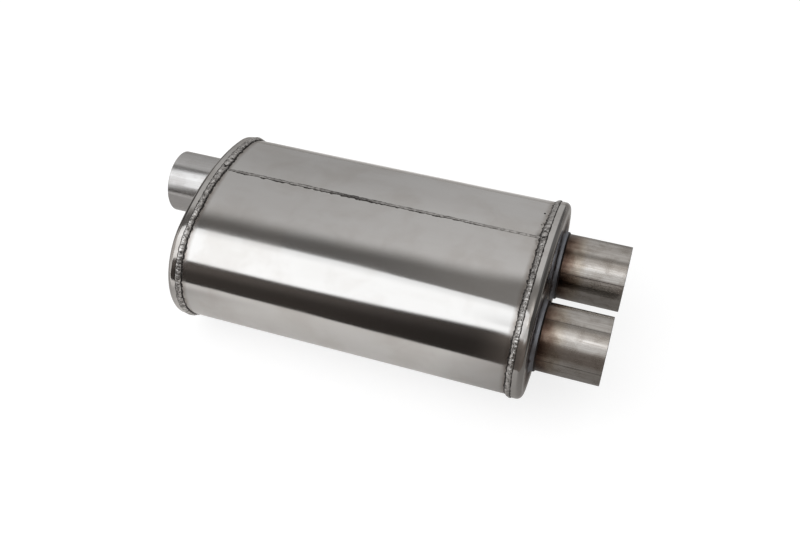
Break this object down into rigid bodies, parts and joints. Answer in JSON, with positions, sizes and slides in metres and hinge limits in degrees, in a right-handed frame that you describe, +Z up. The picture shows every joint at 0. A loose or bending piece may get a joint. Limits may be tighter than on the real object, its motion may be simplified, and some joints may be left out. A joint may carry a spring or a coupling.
{
  "type": "exhaust muffler",
  "caption": "Oval stainless exhaust muffler with welded end caps, an offset inlet neck, twin outlet necks and perforated cores inside.",
  "frame": {"origin": "on the ground below the middle of the body, with the muffler lying flat on a broad face", "axes": "+X along the body from the inlet to the outlets, +Y across the broad face towards the side with the inlet, +Z up"},
  "size_m": [0.4916, 0.2246, 0.1445],
  "materials": {
    "shell_steel": "satin stainless sheet with a faint grain along the body",
    "cap_steel": "polished stainless pressing",
    "weld_steel": "rippled weld bead with dark edges",
    "neck_steel": "clean drawn stainless tube",
    "tinted_neck_steel": "drawn stainless tube, tinted brown by welding heat",
    "tinted_weld_steel": "weld fillet, tinted blue by heat",
    "inner_steel": "plain mill finish",
    "wool_steel": "matted steel wool",
    "fibre": "loose mineral fibre"
  },
  "bodies": {
    "root": {"shell": "shell_steel", "shell_seam_weld": "weld_steel", "inlet_end_cap": "cap_steel", "outlet_end_cap": "cap_steel", "inlet_end_weld": "weld_steel", "outlet_end_weld": "weld_steel", "inlet_neck": "neck_steel", "rear_outlet_neck": "tinted_neck_steel", "front_outlet_neck": "tinted_neck_steel", "inlet_neck_weld": "tinted_weld_steel", "rear_outlet_neck_weld": "tinted_weld_steel", "front_outlet_neck_weld": "tinted_weld_steel", "inlet_baffle": "inner_steel", "outlet_baffle": "inner_steel", "inlet_baffle_tacks": "inner_steel", "outlet_baffle_tacks": "inner_steel", "through_core": "inner_steel", "branch_core": "inner_steel", "through_core_wool": "wool_steel", "branch_core_wool": "wool_steel", "fibre_packing": "fibre"}
  },
  "joints": []
}
